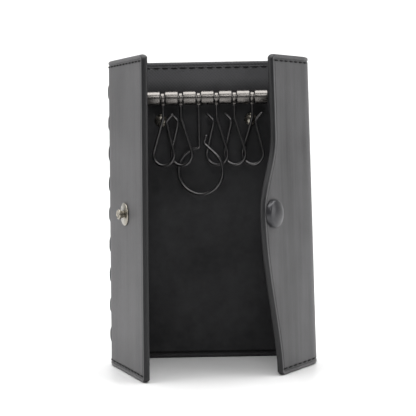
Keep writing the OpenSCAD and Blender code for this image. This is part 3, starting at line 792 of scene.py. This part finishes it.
# %% Repeat along a line
def repeat_group():
    group = bpy.data.node_groups.new("repeat along a line", "GeometryNodeTree")
    face = group.interface
    for name, kind, value in (("Line", "NodeSocketGeometry", None), ("Piece", "NodeSocketObject", None),
                              ("Pitch", "NodeSocketFloat", 0.003), ("Turn with line", "NodeSocketBool", True),
                              ("Chance tilt", "NodeSocketFloat", 0.05), ("Seed", "NodeSocketInt", 1),
                              ("Finish", "NodeSocketMaterial", None)):
        made = face.new_socket(name, in_out="INPUT", socket_type=kind)
        if value is not None:
            made.default_value = value
    face.new_socket("Row", in_out="OUTPUT", socket_type="NodeSocketGeometry")
    new, link = group.nodes.new, group.links.new
    start, end = new("NodeGroupInput"), new("NodeGroupOutput")
    steps = new("GeometryNodeCurveToPoints")
    steps.mode = "LENGTH"
    link(start.outputs["Line"], steps.inputs["Curve"])
    link(start.outputs["Pitch"], steps.inputs["Length"])
    thing = new("GeometryNodeObjectInfo")
    thing.transform_space = "ORIGINAL"
    link(start.outputs["Piece"], thing.inputs["Object"])
    turn = new("GeometryNodeSwitch")
    turn.input_type = "ROTATION"
    link(start.outputs["Turn with line"], turn.inputs["Switch"])
    link(steps.outputs["Rotation"], turn.inputs["True"])
    lay = new("GeometryNodeInstanceOnPoints")
    link(steps.outputs["Points"], lay.inputs["Points"])
    link(thing.outputs["Geometry"], lay.inputs["Instance"])
    link(turn.outputs["Output"], lay.inputs["Rotation"])
    chance = new("FunctionNodeRandomValue")
    chance.data_type = "FLOAT_VECTOR"
    link(start.outputs["Seed"], chance.inputs["Seed"])
    less = new("ShaderNodeMath")
    less.operation = "MULTIPLY"
    less.inputs[1].default_value = -1
    link(start.outputs["Chance tilt"], less.inputs[0])
    link(less.outputs[0], chance.inputs[0])
    link(start.outputs["Chance tilt"], chance.inputs[1])
    tilt = new("GeometryNodeRotateInstances")
    link(lay.outputs["Instances"], tilt.inputs["Instances"])
    link(chance.outputs[0], tilt.inputs["Rotation"])
    real, finish = new("GeometryNodeRealizeInstances"), new("GeometryNodeSetMaterial")
    link(tilt.outputs["Instances"], real.inputs["Geometry"])
    link(real.outputs["Geometry"], finish.inputs["Geometry"])
    link(start.outputs["Finish"], finish.inputs["Material"])
    link(finish.outputs["Geometry"], end.inputs["Row"])
    return group


REPEAT = repeat_group()


def lay_rows(name, rows, thing, pitch, material, body, replaces, turn=True, tilt=0.04, seed=3):
    """Lays thing along the rows, each a list of points in millimetres."""
    curve = bpy.data.curves.new(name + "_rows", "CURVE")
    curve.dimensions = "3D"
    for row in rows:
        spline = curve.splines.new("POLY")
        spline.points.add(len(row) - 1)
        for point, p in zip(spline.points, row):
            point.co = (*(Vector(p) * MM), 1)
    obj = bpy.data.objects.new(name + "_rows", curve)
    bpy.context.scene.collection.objects.link(obj)
    layer = obj.modifiers.new("rows", "NODES")
    layer.node_group = REPEAT
    values = {"Piece": thing, "Pitch": pitch * MM, "Turn with line": turn, "Chance tilt": tilt, "Seed": seed, "Finish": material}
    for item in REPEAT.interface.items_tree:
        if item.in_out == "INPUT" and item.name in values:
            layer[item.identifier] = values[item.name]
    bpy.context.view_layer.update()
    ready = obj.evaluated_get(bpy.context.evaluated_depsgraph_get())
    mesh = bpy.data.meshes.new_from_object(ready)
    bpy.data.objects.remove(obj)
    laid = bpy.data.objects.new(name, mesh)
    bpy.context.scene.collection.objects.link(laid)
    mesh.shade_smooth()
    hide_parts(*replaces)
    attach(laid, body)
    print(f"{name}: {len(mesh.polygons)} faces")
    return laid


def pattern(name, piece, material):
    """A piece to be repeated, kept out of the picture."""
    mesh = bpy.data.meshes.new(name)
    mesh.from_pydata([p * MM for p in piece.points], [], piece.faces)
    mesh.materials.append(material)
    return bpy.data.objects.new(name, mesh)


# %% [markdown]
# ### One stitch and one pass of lace
# A stitch is a short waxed thread, plump in the middle and pulled down into its holes. A pass
# of lace is a flat thong with soft edges that comes out of one slit and goes into the next.

# %% Stitch rows
STITCH_IN, STITCH_PITCH, STITCH_LEN, THREAD_R = 2.2, 3.1, 2.2, 0.3
one = Piece()
lathe(one, [(0, -STITCH_LEN / 2)] + [
    (THREAD_R * math.cos(math.radians(a)) ** 0.6, STITCH_LEN / 2 * math.sin(math.radians(a)))
    for a in range(-75, 76, 15)] + [(0, STITCH_LEN / 2)], Matrix.Identity(4), n=12)
stitch = pattern("stitch", one, THREAD)

for side, word in ((-1, "left"), (1, "right")):
    rows = []
    start, stop = flap_start(side) - 1.5, flap_start(side) + SIDES[side]["flap"] - 2.6
    for z in (STITCH_IN, HEIGHT - STITCH_IN):
        for depth in (0.02, WALL - 0.02):
            rows.append([on_strip(side, start + (stop - start) * k / 40, depth, z) for k in range(41)])
    lay_rows(f"{word}_flap_stitches", rows, stitch, STITCH_PITCH, THREAD, f"{word}_flap", (f"{word}_flap_stitching",))

rows = []
for z in (STITCH_IN, HEIGHT - STITCH_IN):
    for y in (LINING_Y + 0.02, OUTER / 2 - 0.02):
        rows.append([Vector((-BACK_ENDS[-1] + 43.0 * k / 40, y, z)) for k in range(41)])
lay_rows("back_stitches", rows, stitch, STITCH_PITCH, THREAD, "case_back", ("back_stitching",), seed=5)

# %% Lace down the left fold
LACE_COUNT, LACE_W, LACE_T, LACE_AT = 9, 2.4, 0.55, 88
lace_pitch = HEIGHT / (LACE_COUNT + 1)
across = 8
thong = Piece()
points = []
half_pass = lace_pitch * 0.275
origin = on_strip(-1, arc_u(-1, LACE_AT), 0, SNAP_Z)
for k in range(-8, 9):
    share = k / 8
    lift = LACE_T * max(1 - abs(share) ** 3.2, 0) - 0.12
    wide = LACE_W / 2 * (1 - 0.22 * abs(share) ** 3)
    for i in range(24):
        a = 2 * math.pi * i / 24
        c, s = math.cos(a), math.sin(a)
        side_on = wide * math.copysign(abs(c) ** 0.5, c)
        up = lift - LACE_T / 2 + LACE_T / 2 * math.copysign(abs(s) ** 0.6, s)
        points.append(on_strip(-1, arc_u(-1, LACE_AT) + side_on, -up, SNAP_Z + half_pass * share) - origin)
thong.add(points, rings(points, 24))
lace_pass = pattern("lace_pass", thong, LACE)
line = [on_strip(-1, arc_u(-1, LACE_AT), 0, lace_pitch * k) for k in range(1, LACE_COUNT + 1)]
lay_rows("spine_lacing", [line], lace_pass, lace_pitch * 0.9999, LACE, "left_flap", ("spine_lace",), turn=False, tilt=0.02, seed=2)

# %% [markdown]
# ## Table and light
# The case stands on a pale seamless table. One broad soft light hangs above and in front, a
# second fills from the left, and the room adds an even glow.

# %% Table
def table_top():
    f = Finish("table_top")
    grain = f.noise(0.2, 4)
    colour = f.mix(grain, (0.80, 0.80, 0.80), (0.84, 0.84, 0.84))
    return f.done(Base_Color=colour, Roughness=0.32 + 0.1 * grain, Normal=f.relief(grain, 0.02))


sweep_profile = [(-9000, 0), (350, 0)] + [(350 + 300 * math.sin(math.radians(a)), 300 * (1 - math.cos(math.radians(a)))) for a in range(6, 91, 6)] + [(650, 1500)]
floor = Piece()
for x in (-6000, 6000):
    floor.points += [Vector((x, y, z)) for y, z in sweep_profile]
n = len(sweep_profile)
floor.faces = [[k, k + 1, n + k + 1, n + k] for k in range(n - 1)]
floor.kinds, floor.rim = [0] * (n - 1), [6.0] * (2 * n)
table = floor.build("table", table_top())


def soft_light(name, place, aim, size, power, colour=(1, 1, 1)):
    lamp = bpy.data.lights.new(name, "AREA")
    lamp.shape = "RECTANGLE"
    lamp.size, lamp.size_y = size
    lamp.energy, lamp.color = power, colour
    obj = bpy.data.objects.new(name, lamp)
    bpy.context.scene.collection.objects.link(obj)
    obj.location = place
    obj.rotation_euler = (Vector(aim) - Vector(place)).to_track_quat("-Z", "Y").to_euler()


soft_light("above", (0, 0.0, 0.8), (0, 0, 0.05), (1.0, 0.8), 9)
soft_light("front", (0.1, -1.2, 0.9), (0, 0, 0.06), (0.5, 0.4), 3)
soft_light("left", (-0.8, -0.2, 0.35), (0, 0, 0.05), (0.5, 0.8), 2.5)
soft_light("right", (0.8, -0.2, 0.35), (0, 0, 0.05), (0.5, 0.8), 2.5)


def room_glow():
    """An even pale glow that is dim in front of the case, where the room is dark."""
    world = bpy.data.worlds.new("room")
    bpy.context.scene.world = world
    world.use_nodes = True
    room = Finish.__new__(Finish)
    room.tree = world.node_tree
    split = room.tree.nodes.new("ShaderNodeSeparateXYZ")
    room.tree.links.new(room.tree.nodes.new("ShaderNodeTexCoord").outputs[0], split.inputs[0])
    share = ramp(Value(room, split.outputs[1]), -0.75, 0.1)
    background = room.tree.nodes["Background"]
    room.put(background.inputs[0], room.mix(share, (0.10, 0.10, 0.10), (1.0, 1.0, 1.0)))
    background.inputs[1].default_value = 0.75


room_glow()
bpy.context.scene.view_settings.view_transform = "Standard"

# %% Camera
lens = bpy.data.cameras.new("camera")
lens.lens, lens.sensor_width = 102.8, 36
lens.clip_start, lens.clip_end = 0.01, 20
camera = bpy.data.objects.new("camera", lens)
bpy.context.scene.collection.objects.link(camera)
camera.matrix_world = (Matrix.Translation((-0.0005, -0.4420, 0.0818)) @ Matrix.Rotation(math.radians(90 - 3.36), 4, "X")
                       @ Matrix.Rotation(math.radians(-1.04), 4, "Z"))
bpy.context.scene.camera = camera
